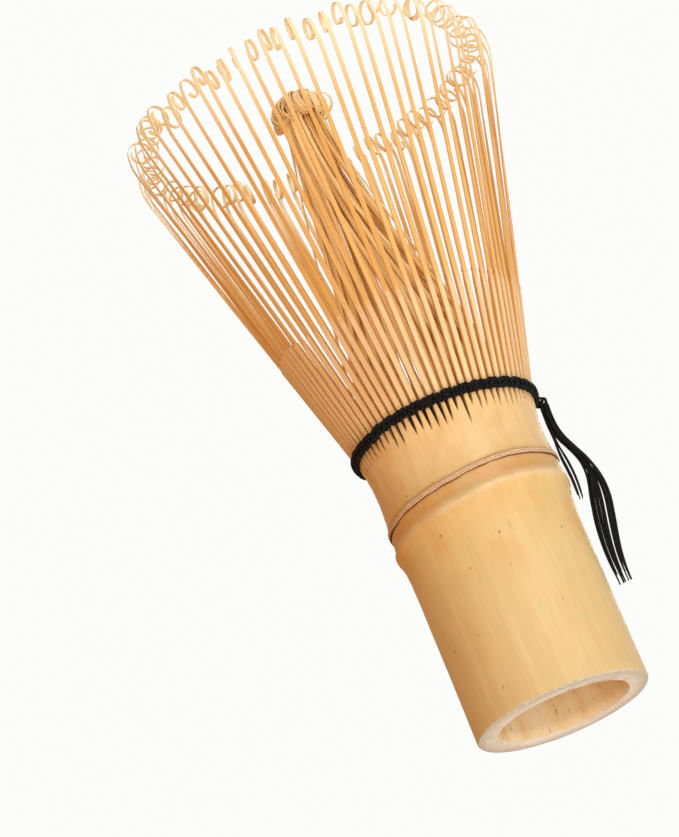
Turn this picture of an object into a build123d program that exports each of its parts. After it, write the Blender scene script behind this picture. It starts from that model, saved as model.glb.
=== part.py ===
from build123d import *
from math import cos, pi, radians, sin, tan
import os

# Bamboo tea whisk, in millimetres, standing on its open end: +Z runs up the culm to the tine tips,
# and the origin is the middle of the base rim.
os.makedirs("parts", exist_ok=True)

# culm
base_radius = 14.5
bore_radius = 10.8
rim_chamfer = 0.4
septum_bottom = 34.2
septum_top = 36.8
collar_bore_radius = 12.7
ridge_z = 34.4
ridge_radius = 15.1
neck_z = 43.5
neck_radius = 14.45
collar_top = 51.05
collar_radius = 15.2

# sheath scar, set in a shallow groove just above the ridge
scar_z = 38.35
scar_height = 0.8
scar_groove_radius = 14.6
scar_radius = 15.05
scar_round = 0.2

# outer tines
tine_count = 72
tines_per_group = 3
tine_pitch = 360 / tine_count
group_count = tine_count // tines_per_group
tine_root_z = 51.2
tine_root_radius = 15.15
tine_lean = 15.2
tine_width = 0.9
root_thickness = 0.7
tip_thickness = 0.24
shaft_length = 59.9
bow_radius = 10
bow_turn = 27
curl_radius = 1.85
curl_turn = 150
inner_curl_radius = 1.55
inner_curl_turn = 140

# splits that run down from the roots into the collar
split_width = 0.36
split_depths = (2.6, 4.2, 3.3)

# inner tines
inner_tines_per_node = 12
inner_root = (13.4, 0, 51.3)
inner_tip = (2.9, 0, 112.3)
inner_root_size = (0.8, 0.6)
inner_tip_size = (0.2, 0.25)
knot_radius = 5.5
knot_bottom = 112.5
knot_top = 116.6

# black thread: (name, ring radius, height, thread radius)
thread_rounds = (
    ("thread_round_lower", 15.62, 50.55, 0.42),
    ("thread_round_upper", 16.06, 51.5, 0.42),
    ("thread_round_inner", 14.28, 52.0, 0.38),
)
thread_knot_centre = (16.54, 6.02)
thread_knot_bottom = 50.1
thread_knot_radius = 1.1
thread_knot_height = 1.8
tail_radius = 0.5
strand_radius = 0.2
tail_points = [
    (16.95, 6.17, 50.1),
    (16.7, 6.1, 47.3),
    (16.8, 5.6, 44.3),
    (17.9, 4.9, 41.6),
    (19.0, 4.2, 38.6),
    (19.4, 3.6, 35.0),
    (18.9, 3.2, 31.3),
    (18.1, 3.0, 27.6),
    (17.5, 3.2, 24.0),
    (17.2, 3.7, 20.6),
    (17.3, 4.0, 17.0),
]
strand_points = [
    (15.9, 5.75, 50.1),
    (15.75, 5.6, 47.2),
    (15.8, 5.1, 44.2),
    (15.95, 4.5, 41.2),
    (16.2, 3.9, 38.2),
    (16.25, 3.4, 35.2),
    (16.0, 3.1, 32.4),
]


def save(piece, name):
    piece.part.label = name
    export_step(piece.part, f"parts/{name}.step")
    print(f"{name}: {piece.part.volume:.3f} mm3")


def route_radii(points):
    """The largest radius that the two runs beside each corner leave room for."""
    corners = [Vector(*point) for point in points]
    radii = []
    for before, corner, after in zip(corners, corners[1:], corners[2:]):
        half_turn = radians((corner - before).get_angle(after - corner)) / 2
        shorter_run = min((corner - before).length, (after - corner).length)
        radii.append(0.45 * shorter_run / tan(half_turn))
    return radii


# Splits: one wedge for each depth, wide at the collar's rim and closing to nothing below it.
split_wedges = []
for depth in split_depths:
    with BuildPart() as split_wedge:
        with BuildSketch(Plane.YZ.offset(collar_bore_radius - 1)) as wedge_face:
            with Locations((0, collar_top)):
                Polygon((-split_width / 2, 0.1), (split_width / 2, 0.1), (0, -depth), align=None)
        extrude(amount=collar_radius - collar_bore_radius + 2)
    split_wedges.append(split_wedge.part)

# Culm: one revolved wall with the septum left solid, the scar's groove, and the splits in its rim.
with BuildPart() as culm:
    with BuildSketch(Plane.XZ) as wall:
        with BuildLine() as outline:
            Polyline((0, septum_bottom), (bore_radius, septum_bottom), (bore_radius, rim_chamfer))
            Polyline((bore_radius, rim_chamfer), (bore_radius + rim_chamfer, 0))
            Polyline((bore_radius + rim_chamfer, 0), (base_radius - rim_chamfer, 0))
            Polyline((base_radius - rim_chamfer, 0), (base_radius, rim_chamfer))
            Spline(
                (base_radius, rim_chamfer),
                (base_radius, ridge_z / 3),
                (base_radius + 0.1, ridge_z - 4.4),
                (ridge_radius, ridge_z),
                (scar_radius - 0.15, scar_z),
                (neck_radius, neck_z),
                (collar_radius, collar_top),
                tangents=((0, 1), (0.13, 1)),
            )
            Polyline(
                (collar_radius, collar_top),
                (collar_bore_radius, collar_top),
                (collar_bore_radius, septum_top),
                (0, septum_top),
                (0, septum_bottom),
            )
        make_face()
        with Locations((scar_groove_radius, scar_z)):
            Rectangle(2, scar_height, align=(Align.MIN, Align.CENTER), mode=Mode.SUBTRACT)
    revolve(axis=Axis.Z)
    for order, wedge in enumerate(split_wedges):
        with PolarLocations(0, group_count, start_angle=(order + 0.5) * tine_pitch):
            add(wedge, mode=Mode.SUBTRACT)
save(culm, "culm_handle")

with BuildPart() as sheath_scar:
    with BuildSketch(Plane.XZ) as scar_section:
        with Locations((scar_groove_radius, scar_z)):
            Rectangle(scar_radius - scar_groove_radius, scar_height, align=(Align.MIN, Align.CENTER))
        fillet(scar_section.vertices().group_by(Axis.X)[-1], scar_round)
    revolve(axis=Axis.Z)
save(sheath_scar, "sheath_scar")

# One outer tine at +X: a tapered shaft that leans outwards, bows back and curls in on itself.
root = Vector(tine_root_radius, tine_root_z)
along = Vector(sin(radians(tine_lean)), cos(radians(tine_lean)))
across = Vector(along.Y, -along.X)
shaft_end = root + along * shaft_length
with BuildPart() as outer_tine:
    with BuildSketch(Plane.XZ) as side_view:
        with BuildLine() as curl:
            bow = JernArc(shaft_end, along, bow_radius, bow_turn)
            first_turn = JernArc(bow @ 1, bow % 1, curl_radius, curl_turn)
            JernArc(first_turn @ 1, first_turn % 1, inner_curl_radius, inner_curl_turn)
        trace(line_width=tip_thickness)
        Polygon(
            root - across * root_thickness / 2,
            root + across * root_thickness / 2,
            shaft_end + across * tip_thickness / 2,
            shaft_end - across * tip_thickness / 2,
            align=None,
        )
    extrude(amount=tine_width / 2, both=True)

for group in range(group_count):
    with BuildPart() as outer_group:
        with PolarLocations(
            0,
            tines_per_group,
            start_angle=group * tines_per_group * tine_pitch,
            angular_range=tines_per_group * tine_pitch,
        ):
            add(outer_tine.part)
    save(outer_group, f"outer_tines_{group + 1:02d}")

# One inner tine at +X: a straight strip that narrows evenly towards the middle.
inner_direction = Vector(*inner_tip) - Vector(*inner_root)
with BuildPart() as inner_tine:
    with BuildSketch(Plane(inner_root, x_dir=(0, 1, 0), z_dir=inner_direction)):
        Rectangle(*inner_root_size)
    with BuildSketch(Plane(inner_tip, x_dir=(0, 1, 0), z_dir=inner_direction)):
        Rectangle(*inner_tip_size)
    loft()

for sector in range(tine_count // inner_tines_per_node):
    with BuildPart() as inner_group:
        with PolarLocations(
            0,
            inner_tines_per_node,
            start_angle=(sector * inner_tines_per_node + 0.5) * tine_pitch,
            angular_range=inner_tines_per_node * tine_pitch,
        ):
            add(inner_tine.part)
    save(inner_group, f"inner_tines_{sector + 1}")

with BuildPart() as inner_tip_knot:
    with BuildSketch(Plane.XZ) as cap_section:
        with BuildLine() as cap_outline:
            Line((0, knot_top), (0, knot_bottom))
            Line((0, knot_bottom), (knot_radius * 0.6, knot_bottom))
            Spline(
                (knot_radius * 0.6, knot_bottom),
                (knot_radius, (knot_bottom + knot_top) / 2),
                (knot_radius * 0.55, knot_top),
                tangents=((1, 0.3), (-1, 0.1)),
            )
            Line((knot_radius * 0.55, knot_top), (0, knot_top))
        make_face()
    revolve(axis=Axis.Z)
save(inner_tip_knot, "inner_tip_knot")

for name, ring_radius, height, thread_radius in thread_rounds:
    with BuildPart() as thread_round:
        with BuildSketch(Plane.XZ) as thread_section:
            with Locations((ring_radius, height)):
                Circle(thread_radius)
        revolve(axis=Axis.Z)
    save(thread_round, name)

with BuildPart() as thread_knot:
    with BuildSketch(Plane.XY.offset(thread_knot_bottom)) as knot_foot:
        with Locations(thread_knot_centre):
            Circle(thread_knot_radius)
    extrude(amount=thread_knot_height)
    fillet(thread_knot.edges().group_by(Axis.Z)[-1], thread_knot_radius * 0.6)
    fillet(thread_knot.edges().group_by(Axis.Z)[0], thread_knot_radius * 0.12)
save(thread_knot, "thread_knot")

for name, points, thread_radius in (
    ("thread_tail", tail_points, tail_radius),
    ("thread_strand", strand_points, strand_radius),
):
    radii = route_radii(points)
    print(name, "bend radii:", ", ".join(f"{radius:.1f}" for radius in radii))
    with BuildPart() as loose_end:
        with BuildLine() as route:
            FilletPolyline(*points, radius=radii)
        path = route.wire()
        with BuildSketch(Plane(path @ 0, z_dir=path % 0)):
            Circle(thread_radius)
        sweep()
    expected = pi * thread_radius**2 * path.length
    print(f"{name}: length {path.length:.1f} mm, section times length {expected:.3f} mm3")
    save(loose_end, name)
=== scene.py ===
import random
from math import cos, pi, radians, sin, tau

import bpy
from mathutils import Matrix, Vector, noise


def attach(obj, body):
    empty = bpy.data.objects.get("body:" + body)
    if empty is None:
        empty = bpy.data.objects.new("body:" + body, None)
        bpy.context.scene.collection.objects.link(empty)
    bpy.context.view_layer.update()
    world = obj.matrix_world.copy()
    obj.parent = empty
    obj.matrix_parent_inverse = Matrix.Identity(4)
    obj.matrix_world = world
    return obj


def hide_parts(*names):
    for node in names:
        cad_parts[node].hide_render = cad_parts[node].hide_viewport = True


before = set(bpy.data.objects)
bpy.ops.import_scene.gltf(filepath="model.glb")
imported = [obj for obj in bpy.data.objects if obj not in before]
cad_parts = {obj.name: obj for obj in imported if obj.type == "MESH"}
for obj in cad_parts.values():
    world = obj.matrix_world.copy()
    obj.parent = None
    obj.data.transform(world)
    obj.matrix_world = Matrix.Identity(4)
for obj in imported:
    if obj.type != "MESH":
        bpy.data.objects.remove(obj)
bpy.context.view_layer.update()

# Bamboo tea whisk standing on its open end. Settings are in millimetres and degrees unless they say
# otherwise, and mm turns them into Blender's metres.
mm = 0.001
up = Vector((0, 0, 1))
tineCount = 72

# The loose ends of the binding thread, point by point in metres.
tailRoute = [
    (0.0165, 0.0058, 0.0505),
    (0.0163, 0.0057, 0.0476),
    (0.0167, 0.0053, 0.0445),
    (0.0179, 0.0049, 0.0416),
    (0.0190, 0.0042, 0.0386),
    (0.0194, 0.0036, 0.0350),
    (0.0189, 0.0032, 0.0313),
    (0.0181, 0.0030, 0.0276),
    (0.0175, 0.0032, 0.0240),
    (0.0172, 0.0037, 0.0206),
    (0.0173, 0.0040, 0.0170),
]
strandRoute = [
    (0.0159, 0.00575, 0.0501),
    (0.01575, 0.0056, 0.0472),
    (0.0158, 0.0051, 0.0442),
    (0.01595, 0.0045, 0.0412),
    (0.0162, 0.0039, 0.0382),
    (0.01625, 0.0034, 0.0352),
    (0.0160, 0.0031, 0.0324),
]

cameraSettings = {
    "place": (0, -625.9, -165.94),
    "turn": -1.38,
    "rise": 19.844,
    "roll": -22.353,
    "lens": 175.98,
    "sensor": 36,
}


def aimCamera(settings):
    data = bpy.data.cameras.new("whiskCamera")
    data.sensor_width = settings["sensor"]
    data.lens = settings["lens"]
    data.clip_start = 0.01  # metres, like clip_end
    data.clip_end = 20
    cam = bpy.data.objects.new("whiskCamera", data)
    bpy.context.scene.collection.objects.link(cam)
    turn, rise, roll = (radians(settings[k]) for k in ("turn", "rise", "roll"))
    ahead = Vector((sin(turn) * cos(rise), cos(turn) * cos(rise), sin(rise)))
    level = Vector((cos(turn), -sin(turn), 0))
    plumb = level.cross(ahead)
    right = level * cos(roll) + plumb * sin(roll)
    top = plumb * cos(roll) - level * sin(roll)
    turned = Matrix((right, top, -ahead)).transposed().to_4x4()
    cam.matrix_world = Matrix.Translation(Vector(settings["place"]) * mm) @ turned
    bpy.context.scene.camera = cam


aimCamera(cameraSettings)
print("camera placed")


def linear(hexColour):
    # sRGB hex to linear
    parts = [int(hexColour[i:i + 2], 16) / 255 for i in (1, 3, 5)]
    return [p / 12.92 if p <= 0.04045 else ((p + 0.055) / 1.055) ** 2.4 for p in parts] + [1]


def smooth(low, high, x):
    t = min(1, max(0, (x - low) / (high - low)))
    return t * t * (3 - 2 * t)


def mix(a, b, t):
    return a + (b - a) * t


def table(rows, x):
    # smooth curve through (x, y) rows
    if x <= rows[0][0]:
        return rows[0][1]
    for (x0, y0), (x1, y1) in zip(rows, rows[1:]):
        if x <= x1:
            return mix(y0, y1, smooth(x0, x1, x))
    return rows[-1][1]


def aroundRing(angle, lumps, third):
    # noise from -1 to 1 that closes on itself round the whisk; more lumps make it finer
    return noise.noise(Vector((cos(angle) * lumps, sin(angle) * lumps, third)))


def bendBy(ahead, inward, turn):
    # the direction of travel turns towards inward, and inward turns with it
    return ahead * cos(turn) + inward * sin(turn), inward * cos(turn) - ahead * sin(turn)


def settle(tree, node, settings=None, links=None):
    # settings are socket names or node properties, with colours in hex; links are input name ->
    # output socket, or a node whose first output is meant
    for key, value in (settings or {}).items():
        if isinstance(value, str) and value.startswith("#"):
            value = linear(value)
        if isinstance(key, str) and hasattr(node, key):
            setattr(node, key, value)
        else:
            node.inputs[key].default_value = value
    for key, source in (links or {}).items():
        if isinstance(source, bpy.types.Node):
            source = next(socket for socket in source.outputs if socket.enabled)
        tree.links.new(source, node.inputs[key])
    return node


def addNode(tree, kind, settings=None, links=None):
    return settle(tree, tree.nodes.new("ShaderNode" + kind), settings, links)


def ramp(node, stops):
    # colour stops of a colour ramp as (position, hex)
    elements = node.color_ramp.elements
    while len(elements) > 1:
        elements.remove(elements[-1])
    elements[0].position = stops[0][0]
    elements[0].color = linear(stops[0][1])
    for position, colour in stops[1:]:
        elements.new(position).color = linear(colour)
    return node


def startMaterial(name):
    material = bpy.data.materials.new(name)
    material.use_nodes = True
    tree = material.node_tree
    return material, tree, tree.nodes["Principled BSDF"]


def newShape():
    return {"points": [], "faces": [], "grain": [], "marks": [], "kinds": []}


def addObject(name, shape, materials, body, nodes, crease=40):
    mesh = bpy.data.meshes.new(name)
    mesh.from_pydata([tuple(p * mm for p in point) for point in shape["points"]], [], shape["faces"])
    # grain: place across, along and seed, in mm; marks: tone of the piece, skin and cut, where cut is raw
    # fibre and painted shade in the splits
    for label in ("grain", "marks"):
        layer = mesh.attributes.new(label, "FLOAT_VECTOR", "POINT")
        layer.data.foreach_set("vector", [v for row in shape[label] for v in row])
    if shape["kinds"]:
        mesh.polygons.foreach_set("material_index", shape["kinds"])
    for material in materials:
        mesh.materials.append(material)
    mesh.shade_smooth()
    mesh.set_sharp_from_angle(angle=radians(crease))
    made = bpy.data.objects.new(name, mesh)
    bpy.context.scene.collection.objects.link(made)
    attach(made, body)
    if nodes:
        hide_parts(*nodes)
    return made


def addPoints(shape, ring):
    for point, grain, marks in ring:
        shape["points"].append(tuple(point))
        shape["grain"].append(grain)
        shape["marks"].append(marks)


def addRings(shape, rings, closed=False):
    # rings are lists of (point, grain, marks); each ring joins the next one, and open ends are capped
    first = len(shape["points"])
    size = len(rings[0])
    for ring in rings:
        addPoints(shape, ring)
    count = len(rings)
    for row in range(count if closed else count - 1):
        here = first + row * size
        there = first + (row + 1) % count * size
        for i in range(size):
            j = (i + 1) % size
            shape["faces"].append((here + i, here + j, there + j, there + i))
    if not closed:
        shape["faces"].append(tuple(first + i for i in reversed(range(size))))
        last = first + (count - 1) * size
        shape["faces"].append(tuple(last + i for i in range(size)))


def stripRing(at, side, out, width, thick, along, tone, skin, seed):
    # one rounded-rectangle section of a bamboo strip: side is its width, out its thickness
    w, t = width / 2, thick / 2
    c = min(0.28 * w, 0.6 * t)  # size of the rounded corner
    corners = [
        (w, -t + c), (w, t - c), (w - c, t), (-w + c, t),
        (-w, t - c), (-w, -t + c), (-w + c, -t), (w - c, -t),
    ]
    ring = []
    for a, b in corners:
        outer = 1 if b > 0 and abs(a) < w - c / 2 else 0
        ring.append((at + side * a + out * b, (a, along, seed), (tone, skin * outer, b / t)))
    return ring


def threadRing(at, side, out, radius, along, seed, sides=6):
    ring = []
    for i in range(sides):
        a = tau * i / sides
        point = at + side * (cos(a) * radius) + out * (sin(a) * radius)
        ring.append((point, (radius * a, along, seed), (seed % 1, 0, 0)))
    return ring


def frameAlong(points, closed=False):
    # tangent, side and out at each point, without any roll along the way
    count = len(points)
    tangents = []
    for i in range(count):
        before = points[(i - 1) % count] if closed or i else points[0]
        after = points[(i + 1) % count] if closed or i < count - 1 else points[-1]
        tangents.append((after - before).normalized())
    side = tangents[0].orthogonal().normalized()
    frames = []
    for t in tangents:
        side = (side - t * side.dot(t)).normalized()
        frames.append((t, side, t.cross(side)))
    return frames


# Outer tines. Each one is a strip that leans out, bows back and curls; every tine has its own
# small differences, drawn from its number.
outerSettings = {
    "perGroup": 3,
    "rootZ": 51.2,
    "rootRadius": 15.15,
    "startBelow": 0.5,  # hidden under the thread
    "lean": 15.2,
    "shaft": 59.9,
    "bowRadius": 10,
    "bowTurn": 27,
    "curlRadius": 1.85,
    "curlTurn": 345,
    "curlTightens": 0.78,  # share of the radius that is left at the very tip
    "rootWidth": 0.98,
    "tipWidth": 0.66,
    "tipFlare": 1.12,
    "rootThick": 0.86,
    "stepThick": 0.76,
    "stepAt": 18.6,  # where the paring starts
    "stepLength": 0.06,
    "outerFace": 0.31,  # how far the unpared strip's outer face stands out from its line
    "paredOffset": 0.03,
    "paredThick": 0.42,
    "tipThick": 0.17,
    "twistFrom": 12.5,  # length below the bow that twists
    "twistLength": 14,
}
outerSteps = {"root": 10, "rootPitch": 2.2, "shaft": 17, "bow": 5, "curl": 30}


def outerPlaces(s, stepAt, shaft, curlRadius, curlTurn):
    # lengths along the tine: even on the shaft, short at the step in thickness and on the curl
    marks = [outerSteps["rootPitch"] * i for i in range(outerSteps["root"])]
    marks += [stepAt - s["stepLength"] + s["startBelow"], stepAt + s["startBelow"]]
    rest = shaft + s["startBelow"] - marks[-1]
    marks += [marks[-1] + rest * (i + 1) / outerSteps["shaft"] for i in range(outerSteps["shaft"])]
    bowLength = radians(s["bowTurn"]) * s["bowRadius"]
    places = [(mark, "shaft") for mark in marks]
    places += [(marks[-1] + bowLength * (i + 1) / outerSteps["bow"], "bow") for i in range(outerSteps["bow"])]
    bowEnd = places[-1][0]
    curlLength = 0
    for i in range(outerSteps["curl"]):
        share = (i + 0.5) / outerSteps["curl"]
        radius = curlRadius * mix(1, s["curlTightens"], smooth(0.3, 1, share))
        curlLength += curlTurn / outerSteps["curl"] * radius
        places.append((bowEnd + curlLength, "curl"))
    return places


def outerTine(number, s):
    rng = random.Random(1000 + number)
    azimuth = number * tau / tineCount
    radial = Vector((cos(azimuth), sin(azimuth), 0))
    around = Vector((-sin(azimuth), cos(azimuth), 0))
    lean = radians(s["lean"] + rng.uniform(-0.35, 0.35))
    sway = radians(rng.gauss(0, 0.22))
    shaft = s["shaft"] + rng.gauss(0, 0.45)
    # the paring line climbs towards -X and dips a little between -X and -Y
    stepAt = s["stepAt"] + rng.uniform(-0.5, 0.5)
    stepAt = stepAt + 3.4 * max(0, -cos(azimuth)) ** 3 - 0.8 * max(0, -cos(azimuth - 0.9)) ** 2
    curlRadius = s["curlRadius"] * rng.uniform(0.9, 1.1)
    curlTurn = radians(s["curlTurn"] + rng.uniform(-70, 60))
    yaw = radians(rng.gauss(0, 9))
    drift = rng.choice((-1, 1)) * rng.uniform(0.15, 0.5)
    tone = rng.random()
    seed = rng.uniform(0, 40)
    bend = [rng.gauss(0, 0.35) for _ in range(4)]

    ahead = (radial * sin(lean) + up * cos(lean) + around * sway).normalized()
    inward = (up * sin(lean) - radial * cos(lean))
    inward = (inward - ahead * inward.dot(ahead)).normalized()
    at = radial * s["rootRadius"] + up * s["rootZ"] - ahead * s["startBelow"]
    places = outerPlaces(s, stepAt, shaft, curlRadius, curlTurn)
    total = places[-1][0]

    rings = []
    turned = 0
    last = 0
    for where, part in places:
        d = where - last
        last = where
        twist = 0
        if part == "shaft":
            turn = radians(bend[min(3, int(4 * where / (shaft + 2)))] / 16) * d
            if where > shaft - s["twistFrom"]:
                twist = yaw * d / s["twistLength"]
        elif part == "bow":
            turn = d / s["bowRadius"]
        else:
            turn = curlTurn / outerSteps["curl"]
            turned += turn
        # half the turn, a step, and the other half
        ahead, inward = bendBy(ahead, inward, turn / 2)
        at = at + ahead * d
        ahead, inward = bendBy(ahead, inward, turn / 2)
        side = ahead.cross(inward).normalized()
        if twist:
            inward, side = bendBy(inward, side, twist)
        along = where - s["startBelow"]
        share = where / total
        width = mix(s["rootWidth"], s["tipWidth"], smooth(0.12, 0.85, share))
        if share > 0.94:
            width *= mix(1, s["tipFlare"], (share - 0.94) / 0.06)
        # below the step the strip is thick and its outer face is the culm's skin
        thick = mix(s["rootThick"], s["stepThick"], smooth(0, stepAt, along))
        shift = thick / 2 - s["outerFace"]
        pared = along > stepAt - s["stepLength"] / 2
        if pared:
            thick = mix(s["paredThick"], s["tipThick"], smooth(stepAt, shaft, along))
            shift = s["paredOffset"] * (1 - smooth(stepAt, shaft, along))
        middle = at + side * (drift * turned / tau) + inward * shift
        rings.append(stripRing(middle, side, -inward, width, thick, along, tone, 0 if pared else 1, seed))
    return rings


# Inner tines, swirled into one knob at their tips.
innerSettings = {
    "rootZ": 50.6,
    "tipZ": 112.8,
    "layers": (1, 0.8, 0.58),  # three depths, which neighbours take in turn
    "centre": (-1.7, -1.0),  # the knob leans this way from the axis
    "swirl": -24,
    "rootWidth": 0.82,
    "tipWidth": 0.6,
    "rootThick": 0.5,
    "tipThick": 0.2,
    "length": 62,
    "steps": 44,
    "loopRadius": 2.0,
    "loopTurn": 400,
    "loopSteps": 30,
    "loopTightens": 0.62,
    "loopThins": 0.75,
}
innerRadius = [
    (50.6, 13.4), (60, 11.75), (68, 10.3), (76, 8.7), (88, 6.5), (96, 5.2), (104, 4.0), (112.8, 2.8),
]


def curveThrough(rows, x):
    # straight between rows, eased a little by averaging nearby heights
    total = 0
    for shift in (-3, -1, 1, 3):
        y = min(rows[-1][0], max(rows[0][0], x + shift))
        for (x0, y0), (x1, y1) in zip(rows, rows[1:]):
            if x0 <= y <= x1:
                total += mix(y0, y1, (y - x0) / (x1 - x0))
                break
    return total / 4


def innerTine(number, s):
    rng = random.Random(5000 + number)
    azimuth = (number + 0.5) * tau / tineCount
    layer = s["layers"][number % 3] * rng.uniform(0.92, 1.06)
    swirl = radians(s["swirl"] + rng.gauss(0, 9))
    wander = radians(rng.gauss(0, 3.5))
    early = rng.gauss(0, 0.5)
    tone = rng.random()
    seed = rng.uniform(0, 40)
    highZ = s["tipZ"] + rng.uniform(-0.7, 0.5)
    steps = s["steps"]
    centres = []
    for i in range(steps + 1):
        t = i / steps
        z = mix(s["rootZ"], highZ, t)
        squeeze = mix(1, layer, smooth(0.12, 0.75, t))
        r = curveThrough(innerRadius, z) * squeeze + early * sin(pi * t) * 0.8
        a = azimuth + swirl * smooth(0.3, 1.0, t) * t + wander * sin(tau * t * 0.8)
        lean = smooth(0.2, 0.9, t)
        centres.append(Vector((r * cos(a) + s["centre"][0] * lean, r * sin(a) + s["centre"][1] * lean, z)))
    endAngle = azimuth + swirl * 1.1
    outward = Vector((cos(endAngle), sin(endAngle), 0))
    roll = Vector((sin(endAngle), -cos(endAngle), 0))
    lead = radians(rng.uniform(-30, 22))
    curlTo = (roll * cos(lead) + outward * sin(lead)).normalized()

    rings = []
    radial = Vector((-cos(azimuth), -sin(azimuth), 0))
    for i, at in enumerate(centres):
        t = i / steps
        ahead = (centres[min(i + 1, steps)] - centres[max(i - 1, 0)]).normalized()
        inward = radial.lerp(curlTo, smooth(0.8, 1, t))
        inward = (inward - ahead * inward.dot(ahead)).normalized()
        side = ahead.cross(inward)
        width = mix(s["rootWidth"], s["tipWidth"], smooth(0.05, 0.9, t))
        thick = mix(s["rootThick"], s["tipThick"], smooth(0, 0.95, t))
        rings.append(stripRing(at, side, -inward, width, thick, s["length"] * t, tone, 0, seed))

    # the tip loops round on itself, and all the loops together are the knob
    loop = s["loopRadius"] * rng.uniform(0.82, 1.1)
    turn = radians(s["loopTurn"] + rng.uniform(-70, 60)) / s["loopSteps"]
    drift = rng.uniform(-0.35, 0.9)
    turned = 0
    for i in range(s["loopSteps"]):
        share = (i + 0.5) / s["loopSteps"]
        radius = loop * mix(1, s["loopTightens"], smooth(0.35, 1, share))
        turned += turn
        ahead, inward = bendBy(ahead, inward, turn / 2)
        at = at + ahead * (turn * radius)
        ahead, inward = bendBy(ahead, inward, turn / 2)
        middle = at + side * (drift * turned / tau)
        thick = s["tipThick"] * mix(1, s["loopThins"], share)
        along = s["length"] + turned * radius
        rings.append(stripRing(middle, side, -inward, s["tipWidth"], thick, along, tone, 0, seed))
    return rings


# Culm: the handle with its bore, the node, and the collar whose rim the tines are split from.
culmSettings = {
    "baseRadius": 14.5,
    "boreRadius": 10.8,
    "chamfer": 0.4,
    "septumLow": 34.2,
    "septumHigh": 36.8,
    "collarBore": 12.7,
    "collarTop": 51.05,
    "around": 15,  # radius that distances round the wall are taken at
    "tilt": 0.065,
    "scarZ": 38.4,
    "splitDepths": (2.4, 4.3),
    "longDepths": (4.2, 5.4),
    "longShare": 0.1,
    "splitWidths": (0.19, 0.34),
    "hairlineLength": 1.6,  # a fine crack below each split
    "cutDepth": 1.5,
}
wallRadius = [
    (0, 14.5), (8, 14.44), (24, 14.46), (29, 14.54), (31.5, 14.68), (33.0, 14.94), (34.0, 15.3),
    (34.6, 15.38), (35.5, 15.02), (36.6, 14.88), (37.8, 14.88), (38.0, 14.66), (38.7, 14.62),
    (38.95, 14.8), (39.6, 14.78), (41.2, 14.58), (43.5, 14.45), (46, 14.52), (48, 14.74), (49.5, 15.0),
    (51.05, 15.28),
]
columnOrders = range(-3, 5)  # the columns of one pitch, counted from the middle of its split


def nodeRise(angle, s):
    # the node is set slightly askew and wanders a little, so its ridge and scar climb towards +X
    broad = 0.3 * aroundRing(angle, 1.7, 3)
    small = 0.11 * aroundRing(angle, 5, 8)
    return s["tilt"] * s["around"] * cos(angle) + broad + small


def wallPoint(angle, z, s):
    # radius of the outside wall, and the height on an upright culm that this place stands for
    station = z - nodeRise(angle, s) * smooth(26, 35, z) * (1 - smooth(40, 46, z))
    r = table(wallRadius, station)
    r += 0.09 * aroundRing(angle, 2.1, z * 0.045) + 0.05 * cos(2 * angle + 0.7)
    r += 0.035 * aroundRing(angle, 9, z * 0.12)
    nearNode = smooth(32, 34, station) * (1 - smooth(36, 39, station))
    r += 0.05 * nearNode * aroundRing(angle, 6, z * 0.9)
    return r, station


def columnAt(split, pitch, order, below, s):
    # angle of one column, how far inside the split it is from 0 to 1, and how much of the hairline is left
    opened = max(0, 1 - below / split["deep"])
    hairline = max(0, 1 - (below - split["deep"]) / s["hairlineLength"]) if below > split["deep"] else 1
    half = split["wide"] * opened ** 0.85 + 0.012 + 0.045 * hairline
    # seen from outside, a split is cut straight in on its left and slopes on its right, so one edge
    # reads sharp
    apart = {
        -3: -max(0.4, 0.9 * half + 0.14),
        -2: -0.9 * half - 0.05,
        -1: -0.9 * half,
        0: 0.1 * half,
        1: 0.95 * half,
        2: 1.25 * half + 0.05,
        3: max(0.42, 1.25 * half + 0.12),
        4: pi * s["around"] / tineCount,
    }[order]
    if order < 4:
        apart += split["lean"] * (1 - opened) * 0.6
    return (pitch + 0.5) * tau / tineCount + apart / s["around"], opened, hairline


def culmPoint(kind, r0, z0, split, pitch, order, s):
    if kind == "wall":
        angle, opened, hairline = columnAt(split, pitch, order, s["collarTop"] - z0, s)
        r, station = wallPoint(angle, z0, s)
        z = z0
        # cut is raw fibre and painted shade: dark deep in each split, painted shade fading over its sloping
        # wall, and a faint painted dark line down the crack below it
        cut = 0.3 * hairline if order == 0 else 0
        near = smooth(0, 0.6, opened)
        if opened > 0 and order in (-1, 0):
            r -= s["cutDepth"] * opened ** 0.8 + 0.03
            cut = mix(0.3, 1, smooth(0, 0.45, opened))
        elif opened > 0 and order == 1:
            r -= 0.4 * near
            cut = 0.55 * near
        elif opened > 0 and order == 2:
            r -= 0.04 * near
            cut = 0.1 * near
        elif opened > 0 and order in (-3, 3, 4):
            r += split["proud"] * near
    else:
        angle = columnAt(split, pitch, order, 0, s)[0]
        r, z, station, cut = r0, z0, z0, 0
        # where a split meets the top or the collar's bore, its middle point sinks into it and cut paints it
        # dark, as raw fibre and painted shade in the split
        if kind in ("cut", "inner") and order == 0 and z0 > 48:
            z -= 1.8 if z0 > 50.5 else 0.6
            cut = 1
        elif kind == "rim":
            r += 0.12 * aroundRing(angle, 1.7, r0)
            z = max(0, z0 + 0.05 * aroundRing(angle, 4, r0))
        elif kind in ("bore", "lip"):
            r += 0.16 * aroundRing(angle, 1.7, 11) * smooth(8, 10, r0)
        if kind == "bore":
            r += 0.07 * aroundRing(angle, 5, z0 * 0.4)
    grain = (angle * s["around"], station, r)
    return (r * cos(angle), r * sin(angle), z), grain, (0.5, 1 if kind == "wall" else 0, cut)


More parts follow.
